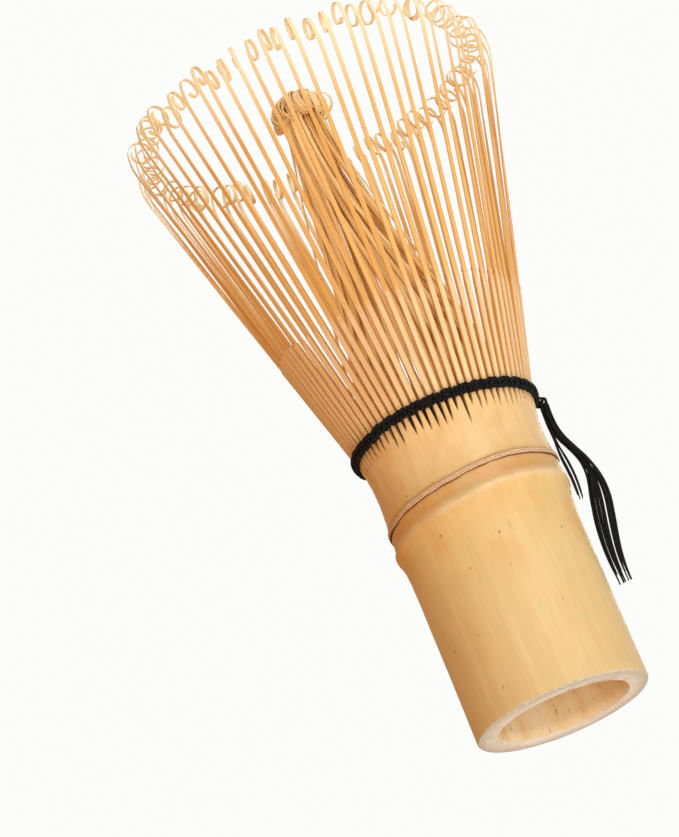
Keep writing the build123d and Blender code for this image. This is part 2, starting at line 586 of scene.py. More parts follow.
def culmRows(s):
    # from the middle of the septum down the bore, round the rim, up the wall, and down inside the collar
    low, high, top = s["septumLow"], s["septumHigh"], s["collarTop"]
    rows = [("bore", r, z) for r, z in (
        (2, low), (6, low - 0.05), (9.6, low - 0.3), (10.7, low - 1.6), (10.8, 28), (10.8, 20),
        (10.82, 12), (10.85, 6), (10.85, 2.2),
    )]
    rows.append(("lip", s["boreRadius"] + 0.1, s["chamfer"]))
    rows += [("rim", r, z) for r, z in (
        (s["boreRadius"] + s["chamfer"], 0),
        ((s["baseRadius"] + s["boreRadius"]) / 2, 0),
        (s["baseRadius"] - 0.45, 0),
        (s["baseRadius"] - 0.16, 0.1),
    )]
    # the wall has close rows at the node and in the splits
    heights = [0.4 + 1.4 * i for i in range(20)]
    heights += [28 + 0.45 * i for i in range(29)]
    heights += [41.3 + 0.7 * i for i in range(4)]
    heights += [43.9 + 0.22 * i for i in range(33)]
    rows += [("wall", None, z) for z in sorted(z for z in heights if z < top - 0.1) + [top]]
    rows += [("cut", r, top) for r in (14.7, 14.0, 13.3)]
    rows += [("inner", s["collarBore"], z) for z in (top, 50, 48.5, 46, 42, 38.2)]
    rows += [("floor", r, z) for r, z in ((12.2, high + 0.3), (10, high + 0.05), (6, high), (2, high))]
    return rows


def buildCulm(s):
    rng = random.Random(77)
    splits = []
    for _ in range(tineCount):
        usual = rng.random() > s["longShare"]
        splits.append({
            "deep": rng.uniform(*(s["splitDepths"] if usual else s["longDepths"])),
            "wide": rng.uniform(*s["splitWidths"]),
            "lean": rng.uniform(-0.25, 0.25),
            "proud": rng.uniform(-0.05, 0.09),
        })
    shape = newShape()
    rows = culmRows(s)
    for kind, r, z in rows:
        addPoints(shape, [
            culmPoint(kind, r, z, split, pitch, order, s)
            for pitch, split in enumerate(splits) for order in columnOrders
        ])
    size = tineCount * len(columnOrders)
    materialOf = {"wall": 0, "rim": 1, "cut": 1, "inner": 1, "bore": 2, "lip": 2, "floor": 2}
    for row in range(len(rows) - 1):
        below, kind = rows[row][0], rows[row + 1][0]
        if below == "rim" and kind == "wall":
            kind = "rim"
        here, there = row * size, (row + 1) * size
        for i in range(size):
            j = (i + 1) % size
            shape["faces"].append((here + i, here + j, there + j, there + i))
            shape["kinds"].append(materialOf[kind])
    # the septum's two faces close the shape
    for row, z, facesDown in ((0, s["septumLow"], True), (len(rows) - 1, s["septumHigh"], False)):
        centre = len(shape["points"])
        addPoints(shape, [((0, 0, z), (0, z, 0), (0.5, 0, 0))])
        for i in range(size):
            a, b = row * size + i, row * size + (i + 1) % size
            shape["faces"].append((centre, b, a) if facesDown else (centre, a, b))
            shape["kinds"].append(materialOf["floor"])
    return shape


def perMetre(cellMm):
    # scale of a pattern in object space whose cells are that many millimetres across
    return 1 / (cellMm * mm)


def bambooSkin():
    # Madake bamboo culm, scraped and sun-bleached: waxy straw skin with faint long fibres, amber
    # clouds near the node and a soft satin shine
    material, tree, shader = startMaterial("bambooSkinScrapedAndBleached")
    grain = addNode(tree, "Attribute", {"attribute_name": "grain"}).outputs["Vector"]
    marks = addNode(tree, "Attribute", {"attribute_name": "marks"}).outputs["Vector"]
    place = addNode(tree, "TexCoord").outputs["Object"]
    station = addNode(tree, "SeparateXYZ", links={"Vector": grain}).outputs["Y"]
    height = addNode(tree, "MapRange", {"From Min": 0, "From Max": 52}, {"Value": station})
    # colour by height up the culm; on the node the pale band along the ridge crest is partly waxy bloom and
    # partly painted highlight, and the darker amber band above it, up to the scar, is partly the node's own
    # colour and partly painted shade
    zones = ramp(addNode(tree, "ValToRGB", links={"Fac": height}), [
        (0.0, "#DFC08C"), (0.1, "#E6C78E"), (0.42, "#E8C98C"), (0.58, "#EAC481"), (0.645, "#EBC482"),
        (0.66, "#EFD2A2"), (0.668, "#E8C692"), (0.69, "#D49D58"), (0.725, "#DBA864"), (0.76, "#EBC486"),
        (0.84, "#F2CD92"), (0.93, "#F3CC90"), (1.0, "#F0C68A"),
    ])
    # amber clouds, about 8 mm across and 14 mm long
    longPlace = addNode(tree, "Mapping", {"Scale": (1, 1, 0.55)}, {"Vector": place})
    cloudSize = {"Scale": perMetre(7.69), "Detail": 3, "Roughness": 0.55}
    clouds = addNode(tree, "TexNoise", cloudSize, {"Vector": longPlace})
    edges = {"From Min": 0.48, "From Max": 0.72, "To Max": 0.42}
    cloudy = addNode(tree, "MapRange", edges, {"Value": clouds})
    # they are stronger round the node and on the collar than on the plain culm below
    stronger = {"From Min": 20, "From Max": 36, "To Min": 0.5, "To Max": 2.3}
    upper = addNode(tree, "MapRange", stronger, {"Value": station})
    cloudier = addNode(tree, "Math", {"operation": "MULTIPLY", "use_clamp": True}, {0: cloudy, 1: upper})
    stained = addNode(tree, "Mix", {"data_type": "RGBA", "B": "#DE9F52"}, {"Factor": cloudier, "A": zones})
    # greener straw patches, 4 mm or so across, left by the sheath and the bleaching
    mottleSize = {"Scale": perMetre(4.17), "Detail": 2, "Roughness": 0.5}
    mottle = addNode(tree, "TexNoise", mottleSize, {"Vector": place})
    greener = addNode(tree, "MapRange", {"From Min": 0.5, "From Max": 0.75, "To Max": 0.5}, {"Value": mottle})
    mottled = addNode(tree, "Mix", {"data_type": "RGBA", "B": "#D9C486"}, {"Factor": greener, "A": stained})
    # fibres run up the culm, about 0.4 mm apart, with broader streaks of 1.6 mm
    fibrePlace = addNode(tree, "Mapping", {"Scale": (1, 1, 0.028)}, {"Vector": place})
    fibreSize = {"Scale": perMetre(0.385), "Detail": 2, "Roughness": 0.6}
    fibres = addNode(tree, "TexNoise", fibreSize, {"Vector": fibrePlace})
    streakSize = {"Scale": perMetre(1.61), "Detail": 2, "Roughness": 0.5}
    streaks = addNode(tree, "TexNoise", streakSize, {"Vector": fibrePlace})
    line = addNode(tree, "Math", {"operation": "ADD"}, {0: fibres, 1: streaks})
    faint = {"From Min": 0.7, "From Max": 1.35, "To Min": 0.26, "To Max": 0.0}
    fade = addNode(tree, "MapRange", faint, {"Value": line})
    lined = addNode(tree, "Mix", {"data_type": "RGBA", "B": "#D39A55"}, {"Factor": fade, "A": mottled})
    # pores and tiny dark dots up to 0.4 mm wide, in about four places out of ten, 2.3 mm apart
    dots = addNode(tree, "TexVoronoi", {"Scale": perMetre(2.326), "Randomness": 1}, {"Vector": longPlace})
    dotEdge = {"From Min": 0.03, "From Max": 0.085, "To Min": 0.9, "To Max": 0}
    dot = addNode(tree, "MapRange", dotEdge, {"Value": dots})
    chance = addNode(tree, "SeparateColor", links={"Color": dots.outputs["Color"]})
    rare = addNode(tree, "Math", {"operation": "GREATER_THAN", 1: 0.62}, {0: chance.outputs["Red"]})
    spot = addNode(tree, "Math", {"operation": "MULTIPLY"}, {0: dot, 1: rare})
    dotted = addNode(tree, "Mix", {"data_type": "RGBA", "B": "#8A5A2C"}, {"Factor": spot, "A": lined})
    # short soft scratches along the grain, up to 0.4 mm wide and 3 mm long
    longer = addNode(tree, "Mapping", {"Scale": (1, 1, 0.12)}, {"Vector": place})
    scores = addNode(tree, "TexVoronoi", {"Scale": perMetre(2.94), "Randomness": 1}, {"Vector": longer})
    scoreEdge = {"From Min": 0.02, "From Max": 0.07, "To Min": 0.6, "To Max": 0}
    score = addNode(tree, "MapRange", scoreEdge, {"Value": scores})
    scratched = addNode(tree, "Mix", {"data_type": "RGBA", "B": "#94683A"}, {"Factor": score, "A": dotted})
    # raw fibre inside the splits, and painted shade that darkens their walls and fades out over each split's
    # sloping side
    cut = addNode(tree, "SeparateXYZ", links={"Vector": marks}).outputs["Z"]
    rawFibreAndPaintedShade = addNode(tree, "MapRange", {"From Min": 0.02, "From Max": 0.85}, {"Value": cut})
    opened = addNode(tree, "Mix", {"data_type": "RGBA", "B": "#6B3F17"}, {"Factor": rawFibreAndPaintedShade, "A": scratched})
    satin = {"From Min": 0.3, "From Max": 0.8, "To Min": 0.36, "To Max": 0.52}
    rough = addNode(tree, "MapRange", satin, {"Value": clouds})
    bump = addNode(tree, "Bump", {"Strength": 0.35, "Distance": 0.06 * mm}, {"Height": line})
    settle(tree, shader, {"IOR": 1.5, "Coat Weight": 0.12, "Coat Roughness": 0.3}, {
        "Base Color": opened, "Roughness": rough, "Normal": bump,
    })
    return material


def bambooEndGrain():
    # sawn and sanded bamboo end: pale grey straw ground, close brown fibre bundles that get bigger
    # towards the skin, and a little dust in it
    material, tree, shader = startMaterial("bambooEndGrainSawn")
    place = addNode(tree, "TexCoord").outputs["Object"]
    marks = addNode(tree, "Attribute", {"attribute_name": "marks"}).outputs["Vector"]
    axis = addNode(tree, "SeparateXYZ", links={"Vector": place})
    flat = addNode(tree, "CombineXYZ", links={"X": axis.outputs["X"], "Y": axis.outputs["Y"]})
    radius = addNode(tree, "VectorMath", {"operation": "LENGTH"}, {0: flat})
    outwards = addNode(tree, "MapRange", {"From Min": 10.9 * mm, "From Max": 14.5 * mm}, {"Value": radius})
    ground = ramp(addNode(tree, "ValToRGB", links={"Fac": outwards}), [
        (0.0, "#ECE4D2"), (0.45, "#DFDFD6"), (0.85, "#CBCCC3"), (1.0, "#D8CAA6"),
    ])
    # bundles are 0.35 mm apart
    bundles = addNode(tree, "TexVoronoi", {"Scale": perMetre(0.345), "Randomness": 0.85}, {"Vector": flat})
    growing = {"From Min": 0, "From Max": 1, "To Min": 0.2, "To Max": 0.5}
    size = addNode(tree, "MapRange", growing, {"Value": outwards})
    inside = addNode(tree, "Math", {"operation": "LESS_THAN"}, {0: bundles, 1: size})
    part = addNode(tree, "Math", {"operation": "MULTIPLY", 1: 0.42}, {0: inside})
    dotted = addNode(tree, "Mix", {"data_type": "RGBA", "B": "#AE9C7C"}, {"Factor": part, "A": ground})
    grime = addNode(tree, "TexNoise", {"Scale": perMetre(2.5), "Detail": 4}, {"Vector": place})
    worn = addNode(tree, "MapRange", {"From Min": 0.45, "From Max": 0.75, "To Max": 0.35}, {"Value": grime})
    dusty = addNode(tree, "Mix", {"data_type": "RGBA", "B": "#B3A48A"}, {"Factor": worn, "A": dotted})
    # raw fibre and painted shade where the splits go through the top
    cut = addNode(tree, "SeparateXYZ", links={"Vector": marks}).outputs["Z"]
    opened = addNode(tree, "Mix", {"data_type": "RGBA", "B": "#6E431B"}, {"Factor": cut, "A": dusty})
    bump = addNode(tree, "Bump", {"Strength": 0.25, "Distance": 0.06 * mm}, {"Height": bundles})
    settle(tree, shader, {"Roughness": 0.72, "IOR": 1.5}, {"Base Color": opened, "Normal": bump})
    return material


def bambooBore():
    # the culm's own hollow, left as it grew: dry warm pith skin with torn flecks and short scratches
    material, tree, shader = startMaterial("bambooPithInsideTheBore")
    place = addNode(tree, "TexCoord").outputs["Object"]
    stretched = addNode(tree, "Mapping", {"Scale": (1, 1, 0.3)}, {"Vector": place})
    patchSize = {"Scale": perMetre(3.85), "Detail": 4, "Roughness": 0.6}
    patches = addNode(tree, "TexNoise", patchSize, {"Vector": stretched})
    ground = ramp(addNode(tree, "ValToRGB", links={"Fac": patches}), [
        (0.3, "#F2CF9A"), (0.5, "#FEE4B2"), (0.7, "#FFEDC6"),
    ])
    fleckSize = {"Scale": perMetre(0.667), "Detail": 3, "Roughness": 0.7}
    flecks = addNode(tree, "TexNoise", fleckSize, {"Vector": stretched})
    speck = addNode(tree, "MapRange", {"From Min": 0.6, "From Max": 0.72, "To Max": 0.5}, {"Value": flecks})
    brown = {"data_type": "RGBA", "B": "#9A6236"}
    flecked = addNode(tree, "Mix", brown, {"Factor": speck, "A": ground})
    # tears up to 0.6 mm wide, in one place out of seven, 3 mm apart
    tears = addNode(tree, "TexVoronoi", {"Scale": perMetre(3.03)}, {"Vector": stretched})
    tearEdge = {"From Min": 0.04, "From Max": 0.1, "To Min": 0.85, "To Max": 0}
    torn = addNode(tree, "MapRange", tearEdge, {"Value": tears})
    chance = addNode(tree, "SeparateColor", links={"Color": tears.outputs["Color"]})
    rare = addNode(tree, "Math", {"operation": "GREATER_THAN", 1: 0.86}, {0: chance.outputs["Red"]})
    spot = addNode(tree, "Math", {"operation": "MULTIPLY"}, {0: torn, 1: rare})
    scarred = addNode(tree, "Mix", {"data_type": "RGBA", "B": "#6B3F1E"}, {"Factor": spot, "A": flecked})
    # painted shade: it darkens to brown further in, where less light reaches
    depth = addNode(tree, "SeparateXYZ", links={"Vector": place}).outputs["Z"]
    further = {"From Min": 4 * mm, "From Max": 16 * mm, "To Max": 0.6}
    shadeFurtherIn = addNode(tree, "MapRange", further, {"Value": depth})
    boreWithPaintedShade = addNode(tree, "Mix", {"data_type": "RGBA", "B": "#A8793F"}, {"Factor": shadeFurtherIn, "A": scarred})
    bump = addNode(tree, "Bump", {"Strength": 0.6, "Distance": 0.12 * mm}, {"Height": flecks})
    settle(tree, shader, {"Roughness": 0.82, "IOR": 1.5}, {"Base Color": boreWithPaintedShade, "Normal": bump})
    return material


outerFinish = {
    "name": "bambooSplitAndParedOuter",
    "pared": "#F7C478",
    "paredDark": "#EAAA56",
    "fibreLinesAndEdgeShade": "#CE8F42",
    "skin": "#F9DBAC",
    "paleFrom": 50,
    "tipPale": 0.95,
}
# the inner strips are painted paler than the outer ones: painted light, standing in for light on the inner
# bundle, which sits in shade among the outer tines
innerFinish = {
    "name": "bambooSplitAndParedInner",
    "pared": "#FFE3A2",
    "paredDark": "#FFCE86",
    "fibreLinesAndEdgeShade": "#E6A258",
    "skin": "#FFE6B8",
    "paleFrom": 59.5,
    "tipPale": 0.4,
}


def bambooStrip(finish):
    # split bamboo, pared with a knife: silky long fibres, each strip a little darker or lighter,
    # with the pale skin left on below the paring line
    material, tree, shader = startMaterial(finish["name"])
    grain = addNode(tree, "Attribute", {"attribute_name": "grain"}).outputs["Vector"]
    marks = addNode(tree, "Attribute", {"attribute_name": "marks"}).outputs["Vector"]
    mark = addNode(tree, "SeparateXYZ", links={"Vector": marks})
    where = addNode(tree, "SeparateXYZ", links={"Vector": grain})
    # fibres are 0.14 mm apart and run for 17 mm or so; grain is already in millimetres
    stretched = addNode(tree, "Mapping", {"Scale": (1 / 0.143, 1 / 16.7, 1)}, {"Vector": grain})
    fibres = addNode(tree, "TexNoise", {"Scale": 1, "Detail": 3, "Roughness": 0.6}, {"Vector": stretched})
    slow = addNode(tree, "Mapping", {"Scale": (1 / 1.43, 1 / 11.1, 1)}, {"Vector": grain})
    patches = addNode(tree, "TexNoise", {"Scale": 1, "Detail": 2}, {"Vector": slow})
    tone = addNode(tree, "Math", {"operation": "ADD"}, {0: patches, 1: mark.outputs["X"]})
    toned = addNode(tree, "MapRange", {"From Min": 0.4, "From Max": 1.6}, {"Value": tone})
    wood = ramp(addNode(tree, "ValToRGB", links={"Fac": toned}), [
        (0.0, finish["paredDark"]), (0.55, finish["pared"]), (1.0, finish["pared"]),
    ])
    skinColour = {"data_type": "RGBA", "B": finish["skin"]}
    skinned = addNode(tree, "Mix", skinColour, {"Factor": mark.outputs["Y"], "A": wood})
    lineFade = {"From Min": 0.35, "From Max": 0.6, "To Min": 0.5, "To Max": 0}
    fade = addNode(tree, "MapRange", lineFade, {"Value": fibres})
    fibreAndEdgeShadeColour = {"data_type": "RGBA", "B": finish["fibreLinesAndEdgeShade"]}
    lined = addNode(tree, "Mix", fibreAndEdgeShadeColour, {"Factor": fade, "A": skinned})
    # painted shade: the strips' side edges are painted darker, for the shade in the gaps between them
    off = addNode(tree, "Math", {"operation": "ABSOLUTE"}, {0: where.outputs["X"]})
    side = addNode(tree, "MapRange", {"From Min": 0.27, "From Max": 0.42, "To Max": 0.4}, {"Value": off})
    edgeShaded = addNode(tree, "Mix", fibreAndEdgeShadeColour, {"Factor": side, "A": lined})
    # the thin tips let light through and look paler
    paling = {"From Min": finish["paleFrom"], "From Max": 64, "To Max": finish["tipPale"]}
    thin = addNode(tree, "MapRange", paling, {"Value": where.outputs["Y"]})
    tipped = addNode(tree, "Mix", {"data_type": "RGBA", "B": "#FFEDC4"}, {"Factor": thin, "A": edgeShaded})
    silky = {"From Min": 0.3, "From Max": 0.7, "To Min": 0.42, "To Max": 0.58}
    rough = addNode(tree, "MapRange", silky, {"Value": fibres})
    bump = addNode(tree, "Bump", {"Strength": 0.4, "Distance": 0.04 * mm}, {"Height": fibres})
    settle(tree, shader, {"IOR": 1.5}, {"Base Color": tipped, "Roughness": rough, "Normal": bump})
    return material


def sheathScarFibre():
    # the line where the culm sheath broke off: a dry, fibrous, pinkish tan cord with dark brown edges
    material, tree, shader = startMaterial("sheathScarBrokenFibre")
    grain = addNode(tree, "Attribute", {"attribute_name": "grain"}).outputs["Vector"]
    where = addNode(tree, "SeparateXYZ", links={"Vector": grain})
    edges = {"From Min": -scarSettings["grainHalf"], "From Max": scarSettings["grainHalf"]}
    across = addNode(tree, "MapRange", edges, {"Value": where.outputs["Y"]})
    band = ramp(addNode(tree, "ValToRGB", links={"Fac": across}), [
        (0.0, "#4A2412"), (0.06, "#8A5230"), (0.14, "#EBC398"), (0.4, "#FBDDB8"), (0.52, "#E6B78E"),
        (0.62, "#F8D7AE"), (0.86, "#EBC298"), (0.94, "#8A5230"), (1.0, "#4A2412"),
    ])
    # broken fibre ends, 0.4 mm long round the culm and 0.2 mm high
    stretched = addNode(tree, "Mapping", {"Scale": (1 / 0.385, 1 / 0.2, 1)}, {"Vector": grain})
    fibres = addNode(tree, "TexNoise", {"Scale": 1, "Detail": 4, "Roughness": 0.7}, {"Vector": stretched})
    lineFade = {"From Min": 0.42, "From Max": 0.62, "To Min": 0.55, "To Max": 0}
    fade = addNode(tree, "MapRange", lineFade, {"Value": fibres})
    lined = addNode(tree, "Mix", {"data_type": "RGBA", "B": "#8C5636"}, {"Factor": fade, "A": band})
    bump = addNode(tree, "Bump", {"Strength": 0.7, "Distance": 0.1 * mm}, {"Height": fibres})
    settle(tree, shader, {"Roughness": 0.8, "IOR": 1.5}, {"Base Color": lined, "Normal": bump})
    return material


def blackThread():
    # dyed black cotton thread, tightly twisted: matt, with faint brown-grey glints on its filaments painted
    # into its colour as painted highlight
    material, tree, shader = startMaterial("cottonThreadDyedBlack")
    grain = addNode(tree, "Attribute", {"attribute_name": "grain"}).outputs["Vector"]
    # filaments drawn 0.09 mm apart, coarser than the real ones so that they show
    twisted = {"Scale": (1 / 0.091, 1 / 0.625, 1), "Rotation": (0, 0, 0.5)}
    slanted = addNode(tree, "Mapping", twisted, {"Vector": grain})
    filaments = addNode(tree, "TexNoise", {"Scale": 1, "Detail": 2, "Roughness": 0.5}, {"Vector": slanted})
    # black dye, with painted highlight: the lighter brown-grey filaments are painted glints
    dyeAndPaintedGlints = ramp(addNode(tree, "ValToRGB", links={"Fac": filaments}), [
        (0.3, "#040404"), (0.55, "#0B0A0A"), (0.75, "#211D1D"),
    ])
    bump = addNode(tree, "Bump", {"Strength": 0.9, "Distance": 0.09 * mm}, {"Height": filaments})
    matt = {"Roughness": 0.62, "IOR": 1.53, "Specular IOR Level": 0.2}
    fuzz = {"Sheen Weight": 0.03, "Sheen Roughness": 0.5}
    settle(tree, shader, matt | fuzz, {"Base Color": dyeAndPaintedGlints, "Normal": bump})
    return material


scarSettings = {
    "half": 0.47,
    "thick": 0.34,
    "radius": 15.04,
    "steps": 300,
    "grainHalf": 0.42,
    # section of two soft strands side by side, as shares of half and of thick
    "section": (
        (-1, -0.9), (-0.92, -0.25), (-0.62, 0.1), (-0.35, 0.12), (-0.05, -0.12),
        (0.2, 0.02), (0.5, 0.16), (0.8, 0.02), (1, -0.4), (1, -0.9),
    ),
}

skin = bambooSkin()
endGrain = bambooEndGrain()
bore = bambooBore()
outerWood = bambooStrip(outerFinish)
innerWood = bambooStrip(innerFinish)
scarFibre = sheathScarFibre()
thread = blackThread()
print("materials made")

culmShape = buildCulm(culmSettings)
addObject("culm", culmShape, [skin, endGrain, bore], "handle", ["culm_handle"], 50)
print("culm built")

perGroup = outerSettings["perGroup"]
for group in range(tineCount // perGroup):
    shape = newShape()
    for number in range(group * perGroup, (group + 1) * perGroup):
        addRings(shape, outerTine(number, outerSettings))
    label = f"{group + 1:02d}"
    body, node = f"outer_flex_{label}", f"outer_tines_{label}"
    addObject(f"outerTines{label}", shape, [outerWood], body, [node])
print("outer tines built")

perSector = 12
for sector in range(tineCount // perSector):
    shape = newShape()
    for number in range(sector * perSector, (sector + 1) * perSector):
        addRings(shape, innerTine(number, innerSettings))
    # the first sector also stands for the knob, which all the loops make together
    nodes = [f"inner_tines_{sector + 1}"] + (["inner_tip_knot"] if sector == 0 else [])
    addObject(f"innerTines{sector + 1}", shape, [innerWood], "handle", nodes)
print("inner tines built")


def buildScar(s):
    shape = newShape()
    rings = []
    for i in range(s["steps"]):
        a = tau * i / s["steps"]
        spot = Vector((cos(a) * 7, sin(a) * 7, 3))
        z = culmSettings["scarZ"] + nodeRise(a, culmSettings)
        half = s["half"] * (1 + 0.22 * noise.noise(spot))
        r = s["radius"] + 0.05 * cos(2 * a + 0.7) + 0.05 * noise.noise(spot * 1.7)
        out = Vector((cos(a), sin(a), 0))
        ring = []
        for across, deep in s["section"]:
            wobble = 0.06 * aroundRing(a, 40, across * 3)
            point = out * (r + deep * s["thick"] + wobble) + up * (z + across * half)
            grain = (a * culmSettings["around"], across * s["grainHalf"], 0)
            ring.append((point, grain, (0.5, 0, 0)))
        rings.append(ring)
    addRings(shape, rings, closed=True)
    return shape


addObject("sheathScar", buildScar(scarSettings), [scarFibre], "handle", ["sheath_scar"], 60)
print("sheath scar built")


# Black thread: three rounds, the stitches over them, the knot and the two loose ends.
tailSettings = {"strands": 17, "radius": 0.17, "spread": 1.15, "fan": 1.8, "seed": 11}
strandSettings = {"strands": 4, "radius": 0.16, "spread": 0.3, "fan": 0.3, "seed": 23}
threadRounds = {
    # dip is how far the round sinks into the gaps between the tines
    "threadRoundLower": {
        "node": "thread_round_lower",
        "radius": 15.5, "height": 50.62, "ply": 0.235, "pitch": 1.5, "dip": 0.05, "seed": 1,
    },
    "threadRoundUpper": {
        "node": "thread_round_upper",
        "radius": 15.78, "height": 51.45, "ply": 0.235, "pitch": 1.5, "dip": 0.1, "seed": 2,
    },
    "threadRoundInner": {
        "node": "thread_round_inner",
        "radius": 14.28, "height": 52.0, "ply": 0.2, "pitch": 1.6, "dip": 0.05, "seed": 3,
    },
}
roundSteps = 720
stitchSettings = {"radius": 0.17, "sway": 0.2, "around": 15.5, "finer": 3, "seed": 9}
knotSettings = {
    "centre": (16.25, 5.6, 50.75),
    "size": 1.15,
    "depth": 0.5,
    "ply": 0.13,
    "twists": 5,
    "radius": 0.19,
    "steps": 96,
    "seed": 60,
}


def bandHeight(a):
    # the binding rides up a little on one side, where its ends overlap
    turned = (a + pi) % tau - pi
    lift = 0.35 * smooth(-2.35, -2.2, turned) - 0.35 * smooth(-1.1, 0.4, turned)
    return lift - 0.15


def ropeRound(s):
    # two plies twisted round each other
    shape = newShape()
    centres = []
    for i in range(roundSteps):
        a = tau * i / roundSteps
        seed = s["seed"]
        r = s["radius"] + s["dip"] * cos(tineCount * a) + 0.05 * aroundRing(a, 5, seed)
        wave = 0.07 * sin(tineCount / 2 * a + seed) + 0.1 * aroundRing(a, 8, seed + 4)
        centres.append(Vector((r * cos(a), r * sin(a), s["height"] + bandHeight(a) + wave)))
    length = tau * s["radius"]
    turns = round(length / s["pitch"])
    for strand in range(2):
        points = []
        for i, centre in enumerate(centres):
            a = tau * i / roundSteps
            out = Vector((cos(a), sin(a), 0))
            phase = tau * turns * i / roundSteps + pi * strand
            points.append(centre + out * (cos(phase) * s["ply"]) + up * (sin(phase) * s["ply"]))
        rings = []
        for i, (point, (t, _, _)) in enumerate(zip(points, frameAlong(points, closed=True))):
            outward = Vector((point.x, point.y, 0)).normalized()
            side = (outward - t * outward.dot(t)).normalized()
            along, plySeed = i * length / roundSteps, s["seed"] + strand * 3
            rings.append(threadRing(point, side, t.cross(side), s["ply"] * 1.08, along, plySeed, 7))
        addRings(shape, rings, closed=True)
    return shape


def routePoints(route):
    # the smooth line that the thread hangs in
    data = bpy.data.curves.new("routeLine", "CURVE")
    data.dimensions = "3D"
    data.resolution_u = 12
    spline = data.splines.new("NURBS")
    spline.points.add(len(route) - 1)
    for point, place in zip(spline.points, route):
        point.co = (*place, 1)
    spline.order_u = 3
    spline.use_endpoint_u = True
    holder = bpy.data.objects.new("routeLine", data)
    line = bpy.data.meshes.new_from_object(holder)
    points = [v.co.copy() for v in line.vertices]
    bpy.data.objects.remove(holder)
    bpy.data.meshes.remove(line)
    return points


def looseEnd(line, s):
    # strands that start twisted together and fray apart towards the end
    shape = newShape()
    rng = random.Random(s["seed"])
    frames = frameAlong(line)
    distance = [0]
    for a, b in zip(line, line[1:]):
        distance.append(distance[-1] + (b - a).length)
    for n in range(s["strands"]):
        place = (n + 0.5) / s["strands"] * 2 - 1
        phase = rng.uniform(0, tau)
        stop = 1 if n % 3 else rng.uniform(0.95, 0.99)
        depth = rng.uniform(-1, 1)
        wave = rng.uniform(0.7, 1.4)
        points = []
        for at, d, (t, _, _) in zip(line, distance, frames):
            share = d / distance[-1]
            if share > stop:
                break
            across = Vector((0, 1, 0)).cross(t).normalized()
            deep = t.cross(across)
            fray = smooth(0.12, 0.6, share)
            angle = phase + d * tau / 5
            twisted = across * cos(angle) * s["spread"] * 0.5 + deep * sin(angle) * s["spread"] * 0.5
            wide = s["fan"] * fray * (1 - 0.35 * smooth(0.65, 1, share))
            ripple = 0.28 * sin(d * wave * 0.9 + phase) * fray
            opened = across * (place * wide + ripple) + deep * (depth * 0.45 * wide)
            points.append(at / mm + twisted * (1 - fray) + opened * fray)
        rings = []
        for i, (point, (_, side, out)) in enumerate(zip(points, frameAlong(points))):
            size = s["radius"] * (1 - 0.4 * smooth(0.93, 1, i / (len(points) - 1)))
            rings.append(threadRing(point, side, out, size, i * 0.4, s["seed"] + n * 1.7))
        addRings(shape, rings)
    return shape


def betweenPoints(points, finer):
    # a smooth line through the points, with that many steps between each two
    line = []
    for j in range(len(points) - 1):
        before, here, there = points[max(j - 1, 0)], points[j], points[j + 1]
        after = points[min(j + 2, len(points) - 1)]
        for k in range(finer):
            t = k / finer
            slope = (there - before) * t
            bend = (2 * before - 5 * here + 4 * there - after) * t * t
            line.append(0.5 * ((2 * here) + slope + bend + (3 * here - before - 3 * there + after) * t ** 3))
    line.append(points[-1])
    return line


def buildStitches(s):
    # short passes of thread that dip between the tines, over the binding and in to the inner round
    shape = newShape()
    rng = random.Random(s["seed"])
    for i in range(tineCount):
        a = (i + 0.5) * tau / tineCount
        high = bandHeight(a)
        lead = rng.uniform(-s["sway"], s["sway"]) * 0.3
        # radius, height and how far it slants to one side
        path = [
            (15.35, 50.3 + high, -0.26), (15.9, 50.42 + high, -0.2), (16.1, 50.9 + high, -0.05),
            (16.16, 51.4 + high, 0.14), (16.0, 51.8 + high, 0.24), (15.5, 52.05 + high * 0.6, 0.2),
            (14.9, 52.15, 0.1), (14.3, 52.1, 0),
        ]
        flip = 1 if i % 2 else -1
        points = []
        for r, z, slant in path:
            b = a + (slant * flip + lead) / s["around"]
            points.append(Vector((r * cos(b), r * sin(b), z)))
        fine = betweenPoints(points, s["finer"])
        rings = []
        for j, (point, (_, side, out)) in enumerate(zip(fine, frameAlong(fine))):
            rings.append(threadRing(point, side, out, s["radius"], j * 0.2, i * 1.3))
        addRings(shape, rings)
    return shape


def buildKnot(s):
    # an overhand knot in doubled thread
    shape = newShape()
    centre = Vector(s["centre"])
    out = Vector((centre.x, centre.y, 0)).normalized()
    side = up.cross(out)
    for strand in range(2):
        points = []
        for i in range(s["steps"]):
            t = tau * i / s["steps"]
            x = (sin(t) + 2 * sin(2 * t)) / 3 * s["size"]
            y = (cos(t) - 2 * cos(2 * t)) / 3 * s["size"]
            z = -sin(3 * t) * s["depth"]
            phase = s["twists"] * t + pi * strand
            across = side * (x + s["ply"] * cos(phase))
            points.append(centre + across + up * y + out * (z + s["ply"] * sin(phase)))
        rings = []
        for i, (point, (_, sideways, outwards)) in enumerate(zip(points, frameAlong(points, closed=True))):
            rings.append(threadRing(point, sideways, outwards, s["radius"], i * 0.15, s["seed"] + strand))
        addRings(shape, rings, closed=True)
    return shape


def addThread(name, shape, nodes):
    return addObject(name, shape, [thread], "handle", nodes, 80)


tailLine = routePoints(tailRoute)
tail = addThread("threadTail", looseEnd(tailLine, tailSettings), ["thread_tail"])
strand = addThread("threadStrand", looseEnd(routePoints(strandRoute), strandSettings), ["thread_strand"])
print("loose ends built")

for name, settings in threadRounds.items():
    addThread(name, ropeRound(settings), [settings["node"]])
addThread("threadStitches", buildStitches(stitchSettings), [])
addThread("threadKnot", buildKnot(knotSettings), ["thread_knot"])
print("thread built")

floorSettings = {"half": 3000, "below": 0.4}


